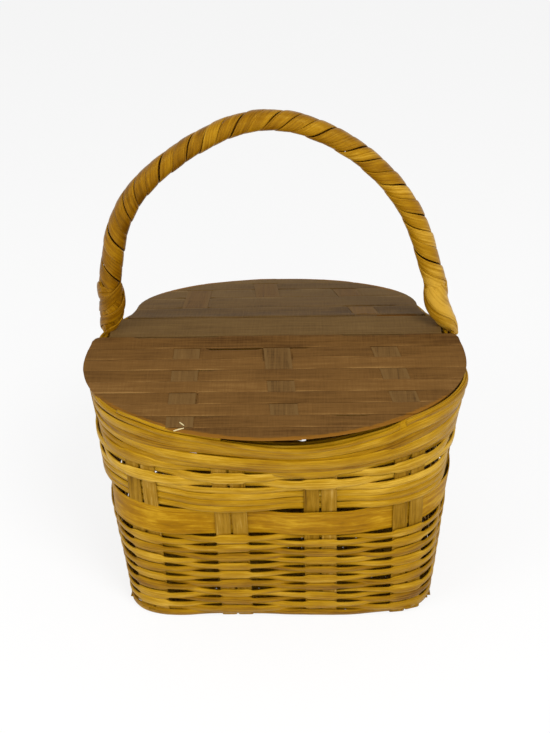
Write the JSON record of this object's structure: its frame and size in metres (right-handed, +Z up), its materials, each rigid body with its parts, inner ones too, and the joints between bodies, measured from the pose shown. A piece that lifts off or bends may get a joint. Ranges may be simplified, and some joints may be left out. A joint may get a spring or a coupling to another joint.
{
  "type": "picnic basket",
  "caption": "Oval woven cane picnic basket with a wrapped bow handle, a fixed bar across the top and two woven veneer flaps hinged at the bar.",
  "frame": {"origin": "on the ground under the middle of the basket", "axes": "+Z up, +X to the right seen from the front, the front faces -Y, the handle's bow lies in the XZ plane"},
  "size_m": [0.308, 0.2594, 0.4154],
  "materials": {
    "cane": "golden split cane under a glossy varnish",
    "handle_cane": "golden wrapped cane under a glossy varnish",
    "stained_veneer": "brown stained veneer, satin and worn"
  },
  "bodies": {
    "basket": {"woven_body": "cane", "floor_mat": "cane", "outer_rim": "cane", "inner_rim": "cane", "handle_core": "handle_cane", "handle_wrap": "handle_cane", "left_foot_lashing": "handle_cane", "right_foot_lashing": "handle_cane", "centre_bar": "stained_veneer", "front_hinge_rod": "cane", "rear_hinge_rod": "cane"},
    "front_flap": {"front_flap": "stained_veneer"},
    "rear_flap": {"rear_flap": "stained_veneer"}
  },
  "joints": [
    {"name": "front_flap_hinge", "type": "hinge", "parent": "basket", "child": "front_flap", "pos_m": [0, -0.017, 0.2266], "axis": [-1, 0, 0], "range_deg": [0, 104]},
    {"name": "rear_flap_hinge", "type": "hinge", "parent": "basket", "child": "rear_flap", "pos_m": [0, 0.017, 0.2266], "axis": [1, 0, 0], "range_deg": [0, 104]}
  ]
}
